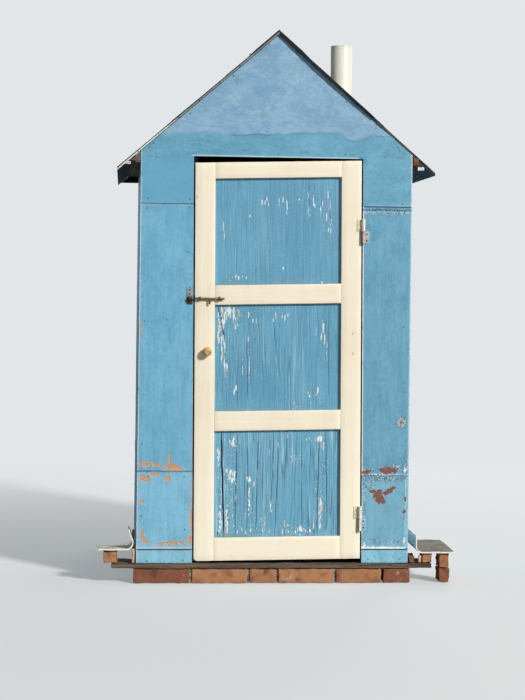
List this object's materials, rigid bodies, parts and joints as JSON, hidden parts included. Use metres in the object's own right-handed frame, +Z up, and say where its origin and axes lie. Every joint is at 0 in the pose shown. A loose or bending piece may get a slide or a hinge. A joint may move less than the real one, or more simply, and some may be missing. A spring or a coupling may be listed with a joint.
{
  "type": "wooden outhouse",
  "caption": "Small timber-framed outhouse clad in blue painted hardboard, with a framed door that opens, a sliding bolt, a steep felted roof, a brick footing and a vent pipe.",
  "frame": {"origin": "underside of the front brick course, in the plane of the front sheets, at the middle of the front", "axes": "+X along the front to the right, +Y in through the door, +Z up"},
  "size_m": [1.605, 1.3838, 2.587],
  "materials": {
    "brick": "rough fired clay with lime mortar",
    "sill_plank": "weathered brown-purple plank",
    "bare_timber": "unpainted sawn softwood, greyed",
    "floor_plank": "worn unpainted boards",
    "eave_wood_left": "grey-brown weathered softwood",
    "eave_wood_right": "reddish-brown weathered softwood",
    "blue_gable": "hardboard with patchy light blue oil paint",
    "blue_sheet": "hardboard with blue oil paint, peeling at the seams",
    "blue_side": "hardboard with blue oil paint, unfaded",
    "roof_board": "thin grey-white roof boarding, weathered edge",
    "roof_felt": "mineral-faced bitumen felt",
    "pipe_white": "off-white plastic, dull and streaked",
    "clamp_steel": "dull zinc-plated steel",
    "apron_sheet": "weathered floor-covering offcut with a pale edge",
    "door_blue": "boards with cracked and flaking blue oil paint over white",
    "door_cream": "planed softwood with cream oil paint, brushed",
    "knob_wood": "turned bare wood, handled",
    "rusty_iron": "rusted mild steel",
    "painted_iron": "steel painted over with cream paint, rust at the edges",
    "bolt_iron": "brown-green oxidised steel"
  },
  "bodies": {
    "shed": {"footing_front": "brick", "footing_rear": "brick", "footing_sides": "brick", "sill_front": "sill_plank", "sill_rear": "sill_plank", "sill_sides": "sill_plank", "floor_rails": "bare_timber", "floor_rail_rear": "bare_timber", "floor_joists": "bare_timber", "front_noggins": "bare_timber", "floor_boards": "floor_plank", "corner_posts": "bare_timber", "door_post_latch": "bare_timber", "door_post_hinge": "bare_timber", "tie_beams": "bare_timber", "wall_plates": "bare_timber", "wall_battens": "bare_timber", "rafters": "bare_timber", "ridge_beam": "bare_timber", "eave_fillet_left": "eave_wood_left", "eave_fillet_right": "eave_wood_right", "gable_sheet_front": "blue_gable", "front_sheet_left": "blue_sheet", "front_sheet_right": "blue_sheet", "lower_sheet_left": "blue_sheet", "lower_sheet_right": "blue_sheet", "plinth_strips": "blue_sheet", "side_sheets_left": "blue_side", "side_sheets_right": "blue_side", "rear_sheets": "blue_side", "roof_board_left": "roof_board", "roof_board_right": "roof_board", "roof_felt_left": "roof_felt", "roof_felt_right": "roof_felt", "ridge_felt": "roof_felt", "vent_pipe": "pipe_white", "pipe_clamps": "clamp_steel", "apron_left": "apron_sheet", "apron_right": "apron_sheet", "apron_packing": "brick", "hinge_wall_leaves": "rusty_iron", "bolt_keeper": "rusty_iron"},
    "door": {"door_boards": "door_blue", "door_stile_latch": "door_cream", "door_stile_hinge": "door_cream", "door_rails": "door_cream", "door_knob": "knob_wood", "hinge_door_leaves": "painted_iron", "bolt_staples": "rusty_iron"},
    "bolt": {"bolt_rod": "bolt_iron"}
  },
  "joints": [
    {"name": "door_hinge", "type": "hinge", "parent": "shed", "child": "door", "pos_m": [0.38988, -0.0083, 0.9], "axis": [0, 0, 1], "range_deg": [0, 105]},
    {"name": "bolt_slide", "type": "slide", "parent": "door", "child": "bolt", "axis": [-1, 0, 0], "range_m": [0, 0.028]}
  ]
}
